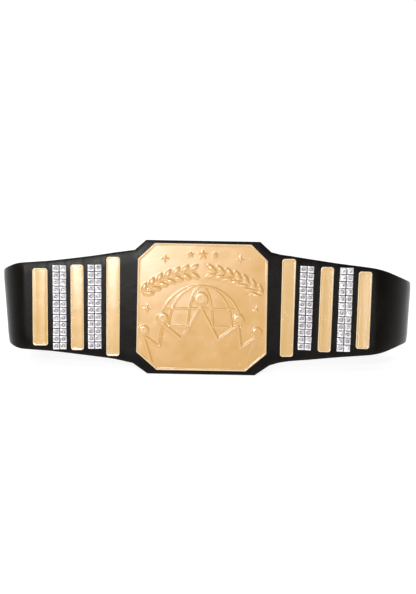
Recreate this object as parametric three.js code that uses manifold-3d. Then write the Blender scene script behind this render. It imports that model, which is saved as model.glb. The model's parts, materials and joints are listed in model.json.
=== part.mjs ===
// A championship title belt, fastened into a loop and resting on its lower edge.
// Millimetres, +Z up. The gold plate faces -Y and +X is to its right as it is looked at.
// Every piece is first made flat: x runs along the belt from the middle of the panel, y goes from the
// strap's face into the belt, and z runs up the belt. wrap() then carries it round the loop.

import * as THREE from "three";
import { mergeVertices } from "three/addons/utils/BufferGeometryUtils.js";
import Module from "manifold-3d";

const wasm = await Module();
wasm.setup();

// Strap and panel
const strapThickness = 4;
const strapEdgeRound = 1.6;
const panelWidth = 155.4;
const panelHeight = 152;
const panelTopFlat = 130;
const panelBottomFlat = 122;
const strapRootHeight = 129;
const tailHeight = 62;
const tailStart = 300;
const tailCornerRadius = 18;

// Loop, seen from above
const bendMarginLeft = 9;
const bendMarginRight = 2;
const bendReachLeft = 25.6;
const bendReachRight = 48.6;
const bendDepthLeft = 40;
const bendDepthRight = 62;
const loopDepth = 200;
const backFullness = 0.62;
const tailOverlap = 90;
const tuckRamp = 70;

// Fastening between the tails
const patchLength = 72;
const patchHeight = 40;
const patchThickness = 1.6;

// Centre plate
const plateBorderTop = 3.6;
const plateBorderBottom = 4.6;
const plateBorderSide = 3.9;
const plateThickness = 2.4;
const plateTopCornerWidth = 19;
const plateTopCornerHeight = 18.2;
const plateBottomCornerWidth = 23.4;
const plateBottomCornerHeight = 19.8;
const rimWidth = 2;
const rimRise = 0.9;
const reliefRise = 1.2;
const reliefLineWidth = 2.8;
const globeRise = 0.7;
const globeLineWidth = 1.8;
const globeRadius = 46.2;
const globeMiddle = 0.676;
const crownWidth = 126;
const crownHeight = 71;
const crownShift = -1.5;
const crownBallRise = 1.7;
const archRadius = 100;
const archDrop = 31.5;
const archMargin = 9;
const leafLength = 13;
const leafWidth = 5.6;
const leafPitch = 9.8;
const leafSpread = 4.2;
const leafTurn = 0.6;
const starRadius = 6;
const starDrop = 12.5;
const starPitch = 14;
const starWaist = 0.42;
const sparkleWaist = 0.25;

// Stripes beside the panel
const stripeStart = 21.9;
const stripePitch = 21.1;
const barWidth = 15.2;
const barThickness = 2.6;
const barCornerRadius = 3;
const barMargin = 6.3;
const stonePitch = 8;
const stoneSize = 7;
const stoneColumns = 2;
const stoneHeight = 2.6;
const stripBacking = 0.8;
const stripMargin = 4;

// Clearances and the fineness of round stretches
const seat = 0.3;
const stationStep = 9;
const quarterRound = 0.5523;
const curveDivisions = 800;

// The strap narrows over this length on each side, from the panel to where the plain tail starts.
const taperLength = tailStart - panelWidth / 2;

// How the strap narrows: along is a share of taperLength outwards from the panel, left and right are
// shares of what it loses on that side between the panel and the tail.
const taper = [
  { along: 0, left: 0, right: 0 },
  { along: 0.05, left: 0.06, right: 0.09 },
  { along: 0.12, left: 0.14, right: 0.155 },
  { along: 0.22, left: 0.23, right: 0.23 },
  { along: 0.33, left: 0.32, right: 0.32 },
  { along: 0.43, left: 0.395, right: 0.385 },
  { along: 0.53, left: 0.44, right: 0.45 },
  { along: 0.6, left: 0.47, right: 0.55 },
  { along: 0.65, left: 0.56, right: 0.665 },
  { along: 0.74, left: 0.67, right: 0.8 },
  { along: 0.86, left: 0.815, right: 0.88 },
  { along: 1, left: 1, right: 1 },
];

// How the strap lies: along as above, lean is the angle in degrees by which an upright line on it tips
// outwards at its top, the flare columns are the angles by which its wall does on that side, and drop
// is how far its middle line sinks, as a share of strapRootHeight.
const lie = [
  { along: 0, lean: 0, leftFlare: 0, rightFlare: 0, drop: 0 },
  { along: 0.1, lean: 0.9, leftFlare: 0, rightFlare: 0, drop: -0.004 },
  { along: 0.2, lean: 1.2, leftFlare: 0, rightFlare: 0, drop: 0.001 },
  { along: 0.3, lean: 1.5, leftFlare: 0, rightFlare: 0, drop: 0.004 },
  { along: 0.55, lean: 1.5, leftFlare: 0, rightFlare: 0, drop: 0.01 },
  { along: 0.75, lean: 0.8, leftFlare: 5.4, rightFlare: 3, drop: 0.01 },
  { along: 0.95, lean: 0, leftFlare: 5.4, rightFlare: 3, drop: 0.008 },
  { along: 1.5, lean: 0, leftFlare: 0, rightFlare: 0, drop: 0 },
];

// The stripes, counted outwards. left and right are the places of the stripe's middle on that side in
// steps of stripePitch, wide is a share of barWidth, and margin and drop are shares of barMargin: the
// room that a bar leaves above and below, and how far the stripe's middle lies below the strap's.
const stripes = [
  {
    name: "inner",
    stones: false,
    left: { place: 0.07, wide: 1, margin: 0.66, drop: 0.12 },
    right: { place: -0.11, wide: 1, margin: 0.76, drop: -0.17 },
  },
  {
    name: "inner",
    stones: true,
    left: { place: 1.06, drop: 0.15 },
    right: { place: 0.855, drop: -0.24 },
  },
  {
    name: "middle",
    stones: false,
    left: { place: 2, wide: 0.97, margin: 1.03, drop: 0.26 },
    right: { place: 1.935, wide: 0.97, margin: 1.08, drop: -0.13 },
  },
  {
    name: "outer",
    stones: true,
    left: { place: 2.945, drop: 0.28 },
    right: { place: 2.97, drop: -0.2 },
  },
  {
    name: "outer",
    stones: false,
    left: { place: 3.99, wide: 1.13, margin: 1.07, drop: 0.2 },
    right: { place: 3.99, wide: 1, margin: 1.07, drop: -0.22 },
  },
];

// Half of the crown, from its middle outwards: x is a share of half crownWidth and z a share of
// crownHeight above its foot, ball is the radius of the ball on a point as a share of crownHeight.
const crown = [
  { x: 0, z: 1, ball: 0.122 },
  { x: 0.322, z: 0.463 },
  { x: 0.684, z: 0.711, ball: 0.093 },
  { x: 0.735, z: 0.342 },
  { x: 1.022, z: 0.518, ball: 0.087 },
  { x: 0.82, z: -0.05 },
];

// Four-pointed stars in the field, on both sides: x and z are shares of the plate's half width and
// half height, size is a share of starRadius.
const sparkles = [
  { x: 0.58, z: 0.76, size: 0.85 },
  { x: 0.84, z: -0.04, size: 0.8 },
];

const black = new THREE.MeshStandardMaterial({ color: 0x1c1916, roughness: 0.38, metalness: 0 });
const gold = new THREE.MeshStandardMaterial({ color: 0xe3bd7a, roughness: 0.42, metalness: 0.5 });
const crystal = new THREE.MeshStandardMaterial({ color: 0xf1ecef, roughness: 0.08, metalness: 0.4 });
const fastener = new THREE.MeshStandardMaterial({ color: 0x232120, roughness: 0.95, metalness: 0 });

// Linear reading of a column of a table at a place along it.
function readTable(rows, place, column) {
  if (place <= rows[0].along) return rows[0][column];
  for (let i = 1; i < rows.length; i += 1) {
    const from = rows[i - 1];
    const to = rows[i];
    if (place <= to.along) {
      const share = (place - from.along) / (to.along - from.along);
      return THREE.MathUtils.lerp(from[column], to[column], share);
    }
  }
  return rows.at(-1)[column];
}

// Place of a stripe's middle along the belt, negative on the left.
function stripePlace(stripe, side) {
  const distance = panelWidth / 2 + stripeStart + stripe[side].place * stripePitch;
  return side === "left" ? -distance : distance;
}

function stripeWidth(stripe, side) {
  return stripe.stones ? stoneColumns * stonePitch : barWidth * stripe[side].wide;
}

// Height of a stripe's middle above the strap's middle line.
function stripeRise(stripe, side) {
  return -barMargin * stripe[side].drop;
}

// Where the flat front ends on one side, which is just past the last stripe.
function frontEnd(side, margin) {
  const last = stripes.at(-1);
  return Math.abs(stripePlace(last, side)) + stripeWidth(last, side) / 2 + margin;
}

// The loop from above, along the strap's outer face: it starts in the middle of the front, runs to
// the right, round the back and in again from the left.
function planPath() {
  const right = frontEnd("right", bendMarginRight);
  const left = -frontEnd("left", bendMarginLeft);
  const farRight = right + bendReachRight;
  const farLeft = left - bendReachLeft;
  const riseRight = loopDepth - bendDepthRight;
  const riseLeft = loopDepth - bendDepthLeft;
  const near = 1 - quarterRound;
  const path = new THREE.Path();
  path.moveTo(0, 0);
  path.lineTo(right, 0);
  path.bezierCurveTo(
    right + quarterRound * bendReachRight, 0,
    farRight, near * bendDepthRight,
    farRight, bendDepthRight,
  );
  path.bezierCurveTo(
    farRight, bendDepthRight + backFullness * riseRight,
    backFullness * farRight, loopDepth,
    0, loopDepth,
  );
  path.bezierCurveTo(
    backFullness * farLeft, loopDepth,
    farLeft, bendDepthLeft + backFullness * riseLeft,
    farLeft, bendDepthLeft,
  );
  path.bezierCurveTo(
    farLeft, near * bendDepthLeft,
    left - quarterRound * bendReachLeft, 0,
    left, 0,
  );
  path.lineTo(0, 0);
  for (const curve of path.curves) curve.arcLengthDivisions = curveDivisions;
  return path;
}

const plan = planPath();
const loopLength = plan.getLength();
const backMiddle = plan.getCurveLengths()[2];
const rightEnd = backMiddle + tailOverlap / 2;
const leftEnd = backMiddle - loopLength - tailOverlap / 2;
const tuckDepth = strapThickness + patchThickness + 2 * seat;

function planAt(along) {
  const share = THREE.MathUtils.euclideanModulo(along / loopLength, 1);
  const point = plan.getPoint(share);
  const tangent = plan.getTangent(share);
  return { point, inward: new THREE.Vector2(-tangent.y, tangent.x) };
}

// Share of taperLength that a place on the belt lies beyond the panel.
function beyondPanel(along) {
  return Math.max(0, Math.abs(along) - panelWidth / 2) / taperLength;
}

// The right tail passes inside the left one, so it steps in before the overlap.
function tuckAt(along) {
  const start = rightEnd - tailOverlap - tuckRamp;
  return tuckDepth * THREE.MathUtils.smoothstep(along, start, start + tuckRamp);
}

// Carries a point of the flat belt to its place on the loop.
function wrap(flat) {
  const share = beyondPanel(flat.x);
  const lean = Math.tan(THREE.MathUtils.degToRad(readTable(lie, share, "lean")));
  const flareColumn = flat.x < 0 ? "leftFlare" : "rightFlare";
  const flare = Math.tan(THREE.MathUtils.degToRad(readTable(lie, share, flareColumn)));
  const drop = strapRootHeight * readTable(lie, share, "drop");
  const { point, inward } = planAt(flat.x + Math.sign(flat.x) * lean * flat.z);
  const depth = flat.y - flare * flat.z + tuckAt(flat.x);
  return new THREE.Vector3(point.x + depth * inward.x, point.y + depth * inward.y, flat.z - drop);
}

function wrapGeometry(geometry) {
  const position = geometry.getAttribute("position");
  const corner = new THREE.Vector3();
  for (let i = 0; i < position.count; i += 1) {
    corner.copy(wrap(corner.fromBufferAttribute(position, i)));
    position.setXYZ(i, corner.x, corner.y, corner.z);
  }
  geometry.computeVertexNormals();
  return geometry;
}

// A closed body through rings of equally many points, each ring counterclockwise as seen from the
// last ring's side, with the first and last ring closed by a fan.
function loft(rings) {
  const count = rings[0].length;
  const positions = rings.flat().flatMap((corner) => corner.toArray());
  const triangles = [];
  for (let r = 0; r + 1 < rings.length; r += 1) {
    for (let i = 0; i < count; i += 1) {
      const next = (i + 1) % count;
      const a = r * count + i;
      const b = r * count + next;
      const c = a + count;
      const d = b + count;
      triangles.push(a, b, d, a, d, c);
    }
  }
  const last = (rings.length - 1) * count;
  for (let i = 1; i + 1 < count; i += 1) {
    triangles.push(0, i + 1, i, last, last + i, last + i + 1);
  }
  const geometry = new THREE.BufferGeometry();
  geometry.setAttribute("position", new THREE.Float32BufferAttribute(positions, 3));
  geometry.setIndex(triangles);
  return geometry;
}

function toManifold(geometry) {
  const bare = geometry.clone();
  bare.deleteAttribute("normal");
  bare.deleteAttribute("uv");
  const merged = mergeVertices(bare, 1e-5);
  const vertProperties = new Float32Array(merged.getAttribute("position").array);
  const triVerts = new Uint32Array(merged.index.array);
  return new wasm.Manifold(new wasm.Mesh({ numProp: 3, vertProperties, triVerts }));
}

function fromManifold(body) {
  const mesh = body.getMesh();
  const geometry = new THREE.BufferGeometry();
  geometry.setAttribute("position", new THREE.BufferAttribute(mesh.vertProperties, 3));
  geometry.setIndex(new THREE.BufferAttribute(mesh.triVerts, 1));
  return geometry;
}

function joinAll(bodies) {
  return bodies.reduce((sum, body) => sum.add(body));
}

// A flat shape, drawn in x and z, raised from one distance in front of the strap's face to another.
function raised(shape, from, to) {
  const geometry = new THREE.ExtrudeGeometry(shape, { depth: to - from, bevelEnabled: false });
  return geometry.rotateX(Math.PI / 2).translate(0, -from, 0);
}

// The top and bottom edge of the flat strap at a place along it.
function edgeAt(along, flat) {
  const distance = Math.abs(along);
  const halfFlat = flat / 2;
  const halfPanel = panelWidth / 2;
  if (distance <= halfFlat) return panelHeight / 2;
  if (distance <= halfPanel) {
    const share = (distance - halfFlat) / (halfPanel - halfFlat);
    return THREE.MathUtils.lerp(panelHeight, strapRootHeight, share) / 2;
  }
  const lost = readTable(taper, beyondPanel(along), along < 0 ? "left" : "right");
  const height = THREE.MathUtils.lerp(strapRootHeight, tailHeight, lost);
  return height / 2 - cornerTrim(along);
}

// What the rounded corners take off a tail near its end.
function cornerTrim(along) {
  const toEnd = Math.min(rightEnd - along, along - leftEnd);
  const inCorner = Math.max(0, tailCornerRadius - toEnd);
  return tailCornerRadius - Math.sqrt(Math.max(0, tailCornerRadius ** 2 - inCorner ** 2));
}

function strapHeightAt(along) {
  return edgeAt(along, panelTopFlat) + edgeAt(along, panelBottomFlat);
}

// Places along the belt at which the strap has a section: its corners, its tapers, the round ends of
// its tails, and enough between them to follow the bends.
function strapStations() {
  const places = new Set([leftEnd, rightEnd]);
  for (const sign of [-1, 1]) {
    places.add((sign * panelTopFlat) / 2);
    places.add((sign * panelBottomFlat) / 2);
    for (const row of taper) places.add(sign * (panelWidth / 2 + row.along * taperLength));
  }
  for (const angle of [15, 35, 60, 90]) {
    const share = 1 - Math.cos(THREE.MathUtils.degToRad(angle));
    places.add(leftEnd + share * tailCornerRadius);
    places.add(rightEnd - share * tailCornerRadius);
  }
  places.add(-frontEnd("left", bendMarginLeft));
  places.add(frontEnd("right", bendMarginRight));
  const sorted = [...places].filter((at) => at >= leftEnd && at <= rightEnd).sort((a, b) => a - b);
  return sorted.flatMap((at, i) => {
    const next = sorted[i + 1] ?? at;
    const onFront = at > -frontEnd("left", 0) && next < frontEnd("right", 0);
    const steps = onFront ? 1 : Math.max(1, Math.ceil((next - at) / stationStep));
    return Array.from({ length: steps }, (_, k) => at + ((next - at) * k) / steps);
  });
}

// One section across the strap, as a flat rectangle with rounded corners.
function strapSection(along) {
  const top = edgeAt(along, panelTopFlat);
  const bottom = -edgeAt(along, panelBottomFlat);
  const corners = [
    { y: strapThickness - strapEdgeRound, z: bottom + strapEdgeRound, start: -90 },
    { y: strapThickness - strapEdgeRound, z: top - strapEdgeRound, start: 0 },
    { y: strapEdgeRound, z: top - strapEdgeRound, start: 90 },
    { y: strapEdgeRound, z: bottom + strapEdgeRound, start: 180 },
  ];
  return corners.flatMap((corner) => [0, 45, 90].map((turn) => {
    const angle = THREE.MathUtils.degToRad(corner.start + turn);
    const y = corner.y + strapEdgeRound * Math.cos(angle);
    const z = corner.z + strapEdgeRound * Math.sin(angle);
    return new THREE.Vector3(along, y, z);
  }));
}

function strapGeometry() {
  return wrapGeometry(loft(strapStations().map(strapSection)));
}

// A rounded rectangle in x and z, counterclockwise as seen from in front.
function roundedOutline(width, height, radius) {
  const corners = [
    { x: 1, z: -1, start: -90 },
    { x: 1, z: 1, start: 0 },
    { x: -1, z: 1, start: 90 },
    { x: -1, z: -1, start: 180 },
  ];
  return corners.flatMap((corner) => [0, 30, 60, 90].map((turn) => {
    const angle = THREE.MathUtils.degToRad(corner.start + turn);
    const x = corner.x * (width / 2 - radius) + radius * Math.cos(angle);
    const z = corner.z * (height / 2 - radius) + radius * Math.sin(angle);
    return new THREE.Vector2(x, z);
  }));
}

// A padded gold bar: its sides stand up from the strap, round over and rise to a low crown.
function barGeometry(place, rise, width, height) {
  const levels = [
    { inset: 0, proud: 0 },
    { inset: 0, proud: 0.4 },
    { inset: 0.25, proud: 0.75 },
    { inset: 1.2, proud: 1 },
  ];
  const rings = levels.map(({ inset, proud }) => {
    const step = inset * barCornerRadius;
    const radius = Math.max(barCornerRadius - step, 0.1 * barCornerRadius);
    const outline = roundedOutline(width - 2 * step, height - 2 * step, radius);
    const y = -seat - proud * barThickness;
    return outline.map((corner) => new THREE.Vector3(place + corner.x, y, rise + corner.y));
  });
  return wrapGeometry(loft(rings));
}

// A square cut stone: a girdle, two steps of four facets and a table.
function stoneGeometry(x, z) {
  const levels = [
    { size: 1, rise: -0.1 },
    { size: 1, rise: 0.3 },
    { size: 0.82, rise: 0.75 },
    { size: 0.52, rise: 1 },
  ];
  const rings = levels.map(({ size, rise }) => {
    const half = (size * stoneSize) / 2;
    const y = -seat - stripBacking - rise * (stoneHeight - stripBacking);
    const corners = [[-1, -1], [1, -1], [1, 1], [-1, 1]];
    return corners.map(([right, up]) => new THREE.Vector3(x + right * half, y, z + up * half));
  });
  return loft(rings);
}

// Rows of stones that every strip has: as many as fit at the strip where the strap is narrowest.
function stoneRows() {
  const heights = stripes.filter((stripe) => stripe.stones).flatMap((stripe) => (
    ["left", "right"].map((side) => strapHeightAt(stripePlace(stripe, side)))
  ));
  return Math.max(1, Math.floor((Math.min(...heights) - 2 * stripMargin) / stonePitch));
}

// A strip of stones in columns and rows, fused to the thin backing that sets them.
function stripGeometry(place, rise) {
  const rows = stoneRows();
  const width = stoneColumns * stonePitch;
  const height = rows * stonePitch;
  const backing = new THREE.BoxGeometry(width, stripBacking, height);
  backing.translate(place, -seat - stripBacking / 2, rise);
  const bodies = [toManifold(backing)];
  for (let column = 0; column < stoneColumns; column += 1) {
    const x = place + (column + 0.5) * stonePitch - width / 2;
    for (let row = 0; row < rows; row += 1) {
      const z = rise + (row + 0.5) * stonePitch - height / 2;
      bodies.push(toManifold(stoneGeometry(x, z)));
    }
  }
  return wrapGeometry(fromManifold(joinAll(bodies)));
}

// Size and middle of the plate, which follow the panel and its borders.
const plate = {
  halfWidth: panelWidth / 2 - plateBorderSide,
  top: panelHeight / 2 - plateBorderTop,
  bottom: -panelHeight / 2 + plateBorderBottom,
};
plate.middle = (plate.top + plate.bottom) / 2;
plate.halfHeight = (plate.top - plate.bottom) / 2;
plate.crownFoot = plate.bottom + rimWidth;
plate.archTop = plate.top - archDrop;

// The plate's eight corners, moved in by an inset, counterclockwise as seen from in front.
function plateOutline(inset) {
  const half = plate.halfWidth - inset;
  const top = plate.top - inset;
  const bottom = plate.bottom + inset;
  const slant = inset * (Math.SQRT2 - 1);
  const topIn = half - plateTopCornerWidth + inset - slant;
  const topDown = top - plateTopCornerHeight + inset - slant;
  const bottomIn = half - plateBottomCornerWidth + inset - slant;
  const bottomUp = bottom + plateBottomCornerHeight - inset + slant;
  const right = [[bottomIn, bottom], [half, bottomUp], [half, topDown], [topIn, top]];
  const left = right.map(([x, z]) => [-x, z]).reverse();
  return [...right, ...left].map(([x, z]) => new THREE.Vector2(x, z));
}

// The bare plate: a flat sheet whose rim stands proud of its field.
function plateSheet() {
  const field = plateThickness;
  const levels = [
    { inset: 0, rise: 0 },
    { inset: 0, rise: field + 0.5 * rimRise },
    { inset: 0.25 * rimWidth, rise: field + rimRise },
    { inset: 0.75 * rimWidth, rise: field + rimRise },
    { inset: rimWidth, rise: field },
  ];
  return loft(levels.map(({ inset, rise }) => (
    plateOutline(inset).map(({ x, y }) => new THREE.Vector3(x, -seat - rise, y))
  )));
}

// A raised line with sloping sides along points drawn in x and z, sunk a little into the field.
function ridge(points, width, rise) {
  const foot = seat + 0.5 * plateThickness;
  const top = seat + plateThickness + rise;
  const sides = points.map((point, i) => {
    const before = points[Math.max(0, i - 1)];
    const after = points[Math.min(points.length - 1, i + 1)];
    const into = point.clone().sub(before).normalize();
    const out = after.clone().sub(point).normalize();
    const along = into.clone().add(out).normalize();
    const across = new THREE.Vector2(-along.y, along.x);
    const turned = i > 0 && i < points.length - 1 ? Math.abs(into.dot(along)) : 1;
    return across.multiplyScalar(1 / Math.max(turned, 0.3));
  });
  const rings = points.map((point, i) => {
    const at = (share, y) => {
      const shift = sides[i].clone().multiplyScalar((share * width) / 2);
      return new THREE.Vector3(point.x + shift.x, -y, point.y + shift.y);
    };
    return [at(1, foot), at(0.5, top), at(-0.5, top), at(-1, foot)];
  });
  return loft(rings);
}

// A low dome or leaf: a stretched ball half sunk into the field, turned in the plate's plane.
function boss(x, z, length, width, rise, turn) {
  const ball = new THREE.SphereGeometry(1, 10, 6);
  ball.scale(length / 2, rise, width / 2);
  ball.rotateY(-turn);
  return ball.translate(x, -seat - plateThickness, z);
}

// Points of an ellipse about the globe's middle, between two angles in degrees.
function arcPoints(middle, halfWidth, halfHeight, from, to, steps) {
  return Array.from({ length: steps + 1 }, (_, i) => {
    const angle = THREE.MathUtils.degToRad(THREE.MathUtils.lerp(from, to, i / steps));
    return new THREE.Vector2(
      middle.x + halfWidth * Math.cos(angle),
      middle.y + halfHeight * Math.sin(angle),
    );
  });
}

// The crown's line from its left foot over its points to its right foot.
function crownLine() {
  const right = crown.map((row) => (
    new THREE.Vector2((row.x * crownWidth) / 2, plate.crownFoot + row.z * crownHeight)
  ));
  const left = right.slice(1).map((point) => new THREE.Vector2(-point.x, point.y)).reverse();
  return [...left, ...right].map((point) => new THREE.Vector2(crownShift + point.x, point.y));
}

function crownBodies() {
  const bodies = [toManifold(ridge(crownLine(), reliefLineWidth, reliefRise))];
  for (const row of crown.filter(({ ball }) => ball)) {
    const size = 2 * row.ball * crownHeight;
    const z = plate.crownFoot + row.z * crownHeight + 0.45 * size;
    const x = (row.x * crownWidth) / 2;
    for (const place of x > 0 ? [-x, x] : [0]) {
      bodies.push(toManifold(boss(crownShift + place, z, size, size, crownBallRise, 0)));
    }
  }
  return bodies;
}

// The upper part of a globe behind the crown, with meridians and parallels, cut off at the crown.
function globeBody() {
  const middle = new THREE.Vector2(crownShift, plate.crownFoot + globeMiddle * crownHeight);
  const lines = [
    arcPoints(middle, globeRadius, globeRadius, 0, 180, 18),
    arcPoints(middle, 0.77 * globeRadius, globeRadius, 0, 180, 16),
    arcPoints(middle, 0.3 * globeRadius, globeRadius, 0, 180, 16),
  ];
  for (const rise of [0, 0.44]) {
    const half = globeRadius * Math.sqrt(1 - rise ** 2);
    const z = middle.y + rise * globeRadius;
    lines.push([new THREE.Vector2(middle.x - half, z), new THREE.Vector2(middle.x + half, z)]);
  }
  const grid = joinAll(lines.map((line) => toManifold(ridge(line, globeLineWidth, globeRise))));
  const cover = new THREE.Shape(crownLine());
  return grid.subtract(toManifold(raised(cover, seat, seat + plateThickness + 2 * reliefRise)));
}

// Two laurel branches that meet at the top.
function laurelBodies() {
  const middle = new THREE.Vector2(0, plate.archTop - archRadius);
  const step = leafPitch / archRadius;
  const reach = plate.halfWidth - archMargin;
  const spread = Math.asin(Math.min(1, reach / archRadius));
  const pairs = Math.max(1, Math.floor(spread / step));
  const bodies = [];
  for (const side of [-1, 1]) {
    const stem = arcPoints(middle, archRadius, archRadius, 90, 90 - side * (180 / Math.PI) * spread, 10);
    bodies.push(toManifold(ridge(stem.slice(1), 0.6 * globeLineWidth, globeRise)));
    for (let i = 1; i <= pairs; i += 1) {
      const angle = Math.PI / 2 - side * i * step;
      for (const away of [-1, 1]) {
        const radius = archRadius + away * leafSpread;
        const x = middle.x + radius * Math.cos(angle);
        const z = middle.y + radius * Math.sin(angle);
        const turn = angle + (Math.PI / 2) * side - away * side * leafTurn;
        bodies.push(toManifold(boss(x, z, leafLength, leafWidth, 1.2 * reliefRise, turn)));
      }
    }
  }
  return bodies;
}

// A star with so many points, counted from the top.
function starShape(x, z, radius, points, waist) {
  const corners = Array.from({ length: 2 * points }, (_, i) => {
    const angle = Math.PI / 2 + (Math.PI * i) / points;
    const reach = i % 2 ? waist * radius : radius;
    return new THREE.Vector2(x + reach * Math.cos(angle), z + reach * Math.sin(angle));
  });
  return new THREE.Shape(corners);
}

function starBodies() {
  const top = seat + plateThickness + reliefRise;
  const foot = seat + 0.5 * plateThickness;
  const shapes = [-1, 0, 1].map((step) => {
    const radius = step ? 0.7 * starRadius : starRadius;
    return starShape(step * starPitch, plate.top - starDrop, radius, 5, starWaist);
  });
  for (const { x, z, size } of sparkles) {
    for (const side of [-1, 1]) {
      const across = side * x * plate.halfWidth;
      const up = plate.middle + z * plate.halfHeight;
      shapes.push(starShape(across, up, size * starRadius, 4, sparkleWaist));
    }
  }
  return shapes.map((shape) => toManifold(raised(shape, foot, top)));
}

function plateGeometry() {
  const relief = joinAll([...crownBodies(), globeBody(), ...laurelBodies(), ...starBodies()]);
  const room = new THREE.Shape(plateOutline(0.6 * rimWidth));
  const kept = relief.intersect(toManifold(raised(room, seat + 0.1, seat + 3 * plateThickness)));
  return wrapGeometry(fromManifold(toManifold(plateSheet()).add(kept)));
}

// The hook-and-loop patch between the tails, bent with them.
function patchGeometry() {
  const steps = Math.ceil(patchLength / stationStep);
  const middle = backMiddle - loopLength;
  const near = strapThickness + seat;
  const far = near + patchThickness;
  const half = patchHeight / 2;
  const rings = Array.from({ length: steps + 1 }, (_, i) => {
    const x = middle + patchLength * (i / steps - 0.5);
    return [[far, -half], [far, half], [near, half], [near, -half]].map(([y, z]) => (
      new THREE.Vector3(x, y, z)
    ));
  });
  return wrapGeometry(loft(rings));
}

const belt = new THREE.Group();

function addPiece(name, geometry, material) {
  const mesh = new THREE.Mesh(geometry, material);
  mesh.name = name;
  belt.add(mesh);
}

addPiece("strap", strapGeometry(), black);
addPiece("centre_plate", plateGeometry(), gold);
for (const side of ["left", "right"]) {
  for (const stripe of stripes) {
    const place = stripePlace(stripe, side);
    const rise = stripeRise(stripe, side);
    if (stripe.stones) {
      addPiece(`stones_${side}_${stripe.name}`, stripGeometry(place, rise), crystal);
    } else {
      const width = stripeWidth(stripe, side);
      const height = strapHeightAt(place) - 2 * stripe[side].margin * barMargin;
      addPiece(`bar_${side}_${stripe.name}`, barGeometry(place, rise, width, height), gold);
    }
  }
}
addPiece("fastener_patch", patchGeometry(), fastener);

// Lowest height of the strap in front of or behind the middle of the loop, when leaned back.
function lowest(points, lean) {
  return Math.min(...points.map((p) => p.z * Math.cos(lean) - p.y * Math.sin(lean)));
}

// The angle at which the panel's foot and the tails stand on one level.
function restingLean() {
  const position = belt.children[0].geometry.getAttribute("position");
  const points = Array.from({ length: position.count }, (_, i) => (
    new THREE.Vector3().fromBufferAttribute(position, i)
  ));
  const front = points.filter((point) => point.y < loopDepth / 2);
  const back = points.filter((point) => point.y >= loopDepth / 2);
  let low = 0;
  let high = Math.PI / 4;
  for (let i = 0; i < 50; i += 1) {
    const lean = (low + high) / 2;
    if (lowest(back, lean) > lowest(front, lean)) low = lean;
    else high = lean;
  }
  return (low + high) / 2;
}

// The belt leans back on its lower edge, with the origin under the middle of its box.
belt.rotation.x = -restingLean();
belt.updateMatrixWorld(true);
const box = new THREE.Box3().setFromObject(belt, true);
const centre = box.getCenter(new THREE.Vector3());
belt.position.set(-centre.x, -centre.y, -box.min.z);
belt.updateMatrixWorld(true);

export default belt;
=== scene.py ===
"""Looks of a championship title belt, dressed round its plain model.

Each piece is drawn flat in millimetres, as the belt would lie on a table: x runs along it from the
middle of the panel, y goes from the strap's face into the belt and z runs up it. to_model() carries
the points round the loop and into the model's own frame, in metres.
"""

import json
import math
from collections import namedtuple

import bpy
import numpy as np
from mathutils import Matrix, Vector


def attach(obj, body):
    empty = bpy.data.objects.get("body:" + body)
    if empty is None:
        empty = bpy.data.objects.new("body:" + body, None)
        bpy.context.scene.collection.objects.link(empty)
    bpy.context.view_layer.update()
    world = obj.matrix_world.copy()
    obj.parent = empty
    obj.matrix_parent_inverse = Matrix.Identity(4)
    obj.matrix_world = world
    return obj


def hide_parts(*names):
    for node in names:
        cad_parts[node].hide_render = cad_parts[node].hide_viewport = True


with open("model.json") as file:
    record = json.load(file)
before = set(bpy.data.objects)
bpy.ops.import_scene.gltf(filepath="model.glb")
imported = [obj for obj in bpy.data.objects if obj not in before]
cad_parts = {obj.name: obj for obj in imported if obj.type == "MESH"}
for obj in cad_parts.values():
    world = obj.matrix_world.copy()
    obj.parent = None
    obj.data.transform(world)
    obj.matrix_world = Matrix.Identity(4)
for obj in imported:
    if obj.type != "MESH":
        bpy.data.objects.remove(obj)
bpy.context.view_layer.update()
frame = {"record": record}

MM = 0.001

# Strap and panel, in millimetres as all sizes here
STRAP_THICKNESS = 4.0
STRAP_EDGE_ROUND = 1.9
PANEL_WIDTH = 155.4
PANEL_HEIGHT = 152.0
PANEL_TOP_FLAT = 130.0
PANEL_BOTTOM_FLAT = 122.0
STRAP_ROOT_HEIGHT = 129.0
TAIL_HEIGHT = 62.0
TAIL_START = 300.0
TAPER_LENGTH = TAIL_START - PANEL_WIDTH / 2
TAPER_BLEND = 7.0
TAPER_BLEND_FROM = 110.0
TAPER_SAMPLES = 9
TAIL_CORNER_RADIUS = 18.0
TAIL_CORNER_SHARES = (0.01, 0.04, 0.1, 0.18, 0.3, 0.45, 0.65, 1.0)
STATION_STEP = 2.5
FACE_POINTS = 27
BACK_POINTS = 9

# The strap's face: how far it sinks at its edges, how far it swells between two stripes, and its
# unevenness, of which only a share shows on the front, up to CALM_FRONT from the middle
EDGE_SINK = 0.55
EDGE_SINK_WIDTH = 11.0
GAP_SWELL = 0.25
GAP_SWELL_WIDTH = 2.2
STRAP_UNEVENNESS = 0.16
STRAP_WAVE = 70.0
CALM_SHARE = 0.3
CALM_FRONT = (200.0, 240.0)

# Loop, seen from above
BEND_MARGIN = {"left": 9.0, "right": 2.0}
BEND_REACH = {"left": 25.6, "right": 48.6}
BEND_DEPTH = {"left": 40.0, "right": 62.0}
LOOP_DEPTH = 200.0
BACK_FULLNESS = 0.62
QUARTER_ROUND = 0.5523
CURVE_STEPS = 400
PLAN_NUDGE = 0.5
TAIL_OVERLAP = 90.0
TUCK_RAMP = 70.0
PATCH_LENGTH = 72.0
PATCH_HEIGHT = 40.0
PATCH_THICKNESS = 1.6
PATCH_FRAY = 0.15
PATCH_WAVE = 5.0
SEAT = 0.3

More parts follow.
